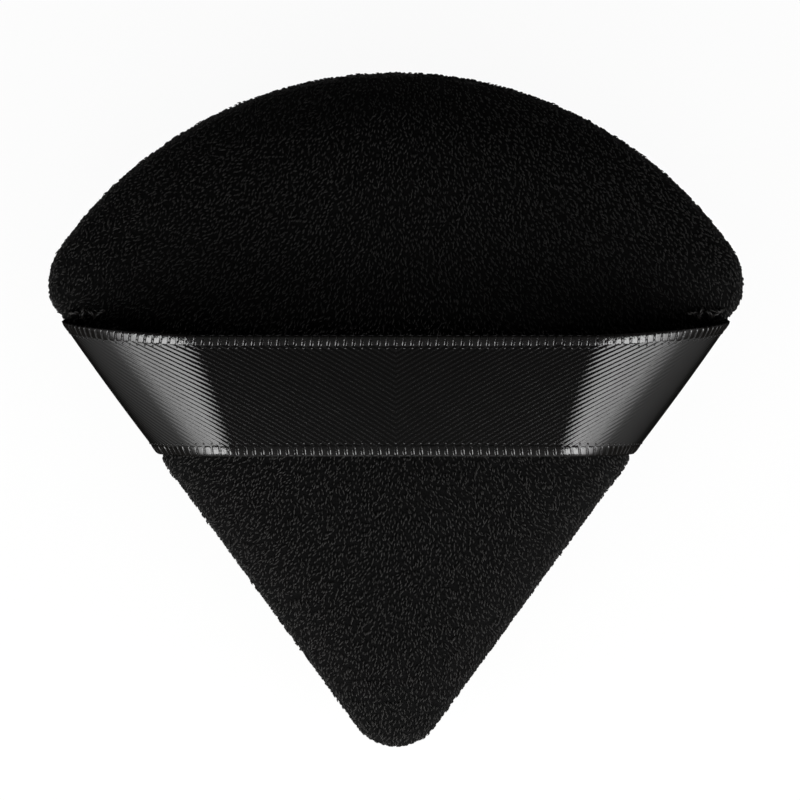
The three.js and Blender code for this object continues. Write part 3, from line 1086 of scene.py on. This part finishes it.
def thread_material(name, dark, light, roughness, ior):
    """Twisted polyester: smooth strands with a fine fibre grain."""
    material, tree, shader = new_material(name)
    grain = tree.noise(tree.object_place(), YARN_GRAIN)
    tree.feed(shader, Base_Color=tree.colour_between(grain, dark, light))
    tree.feed(shader, Roughness=tree.mapped(grain, roughness))
    tree.feed(shader, Normal=tree.bumped(grain, YARN_DEPTH), Specular_IOR_Level=1)
    glossy_face_on(tree, shader, ior, YARN_SHINE)
    return material


def foam_material():
    """Dark open-cell sponge, with painted shade in the hollows of its cells."""
    material, tree, shader = new_material("open_cell_foam")
    cells = tree.add("ShaderNodeTexVoronoi")
    tree.feed(cells, Vector=tree.object_place(), Scale=FOAM_CELLS)
    depth = cells.outputs["Distance"]
    # Darkest where the bump is lowest: painted shade in the cells' hollows.
    tree.feed(shader, Base_Color=tree.colour_between(depth, FOAM_DARK, FOAM_LIGHT))
    tree.feed(shader, Roughness=tree.mapped(depth, FOAM_ROUGHNESS))
    tree.feed(shader, Normal=tree.bumped(depth, FOAM_DEPTH))
    return material


# Floor, lamps, background and camera


def seen_directly(tree):
    """1 for rays from the camera, and for those mirrored or bent towards it."""
    rays = tree.add("ShaderNodeLightPath").outputs
    mirrored = tree.maths("MAXIMUM", rays["Is Camera Ray"], rays["Is Glossy Ray"])
    return tree.maths("MAXIMUM", mirrored, rays["Is Transmission Ray"])


def floor_material():
    """A pale floor that shows nearly white but still takes the puff's shadow."""
    material, tree, shader = new_material("pale_floor")
    patches = tree.noise(tree.object_place(), FLOOR_PATCHES)
    dark = tuple(FLOOR_DARK_SHARE * part for part in FLOOR_COLOUR)
    tree.feed(shader, Base_Color=tree.colour_between(patches, dark, FLOOR_COLOUR))
    tree.feed(shader, Roughness=0.9, Specular_IOR_Level=0)
    white = tree.add("ShaderNodeEmission")
    mix = tree.add("ShaderNodeMixShader")
    tree.feed(mix, Fac=tree.maths("MULTIPLY", seen_directly(tree), WHITE_SHARE))
    for made, socket in zip((shader, white), mix.inputs[1:]):
        tree.link(made.outputs[0], socket)
    tree.feed(tree.nodes["Material Output"], Surface=mix.outputs[0])
    return material


def make_floor():
    signs = ((-1, -1), (1, -1), (1, 1), (-1, 1))
    corners = [(x * FLOOR_REACH, y * FLOOR_REACH, 0) for x, y in signs]
    floor = add_object("floor", mesh_from("floor", corners, [(0, 1, 2, 3)]))
    floor.location.z = cad_box[0].z - FLOOR_GAP
    floor.data.materials.append(floor_material())


def add_lamp(name, direction, distance, width, height, power):
    lamp = bpy.data.objects.new(name, bpy.data.lights.new(name, "AREA"))
    lamp.data.shape = "RECTANGLE"
    lamp.data.size = width
    lamp.data.size_y = height
    lamp.data.energy = power
    towards = Vector(direction).normalized()
    lamp.location = Vector((0, 0, SEAM_Z)) + towards * distance
    lamp.rotation_mode = "QUATERNION"
    lamp.rotation_quaternion = towards.to_track_quat("Z", "Y")
    scene.collection.objects.link(lamp)
    return lamp


def make_lamps():
    """Two softboxes that the ribbon mirrors, and two low lamps for the velour that no gloss mirrors."""
    softbox = (SOFTBOX_DISTANCE, SOFTBOX_WIDTH, SOFTBOX_HEIGHT, SOFTBOX_POWER)
    low_front = (FRONT_DISTANCE, FRONT_WIDTH, FRONT_HEIGHT, FRONT_POWER)
    for name, side in (("left", -1), ("right", 1)):
        mirror = np.array((side, 1, 1))
        add_lamp(f"{name}_softbox", mirror * SOFTBOX_AIM, *softbox)
        front = add_lamp(f"{name}_front", mirror * FRONT_AIM, *low_front)
        front.visible_glossy = False


def make_background():
    """White for the camera, faint fill light, and in reflections a studio dim overhead and at +Y."""
    scene.world = bpy.data.worlds.new("studio")
    tree = NodeTree(scene.world)
    direction = tree.add("ShaderNodeSeparateXYZ")
    tree.feed(direction, Vector=tree.add("ShaderNodeTexCoord").outputs["Generated"])
    overhead = tree.mapped(direction.outputs["Z"], (1, ZENITH_SHARE), ZENITH_SINES)
    behind = tree.mapped(direction.outputs["Y"], (1, BEHIND_SHARE), BEHIND_SINES)
    studio = tree.maths("MULTIPLY", overhead, behind)
    rays = tree.add("ShaderNodeLightPath").outputs
    indirect = tree.number_between(rays["Is Glossy Ray"], FILL_STRENGTH, studio)
    direct = tree.maths("MAXIMUM", rays["Is Camera Ray"], rays["Is Transmission Ray"])
    strength = tree.number_between(direct, indirect, 1)
    tree.feed(tree.nodes["Background"], Color=WHITE, Strength=strength)


def make_camera():
    camera = bpy.data.objects.new("camera", bpy.data.cameras.new("camera"))
    camera.data.sensor_width = SENSOR_WIDTH_MM
    camera.data.lens = LENS_MM
    distance = VIEW_WIDTH * LENS_MM / SENSOR_WIDTH_MM
    camera.location = (VIEW_CENTRE_X, VIEW_CENTRE_Y, SEAM_Z + distance)
    scene.collection.objects.link(camera)
    scene.camera = camera


def make_puff():
    pile, backing = pile_material(), backing_material()
    satin = satin_material()
    cord = thread_material("selvedge_yarn", YARN_DARK, YARN_LIGHT, YARN_ROUGHNESS, YARN_IOR)
    thread = thread_material("sewing_thread", THREAD_DARK, THREAD_LIGHT, THREAD_ROUGHNESS, POLYESTER_IOR)
    body = make_body()
    for name, side in (("front", 1), ("back", -1)):
        outside = make_cover(f"{name}_velour", f"{name}_cover", body, side, backing)
        make_pile(f"{name}_pile", outside, pile)
    ribbon, ribbon_length = make_ribbon(satin)
    selvedges = [make_selvedge("upper_selvedge", 1, cord), make_selvedge("lower_selvedge", 0, cord)]
    make_closing_thread(thread)
    for side_name in ("left", "right"):
        make_end_stitches(side_name, body, thread)
    for name in ("seam_needle_thread", "seam_bobbin_thread"):
        nodes[name].data.materials.clear()
        nodes[name].data.materials.append(thread)
    make_foam(foam_material())
    bpy.data.objects.remove(body)


make_camera()
make_puff()
make_floor()
make_lamps()
make_background()
scene.view_settings.view_transform = "Standard"
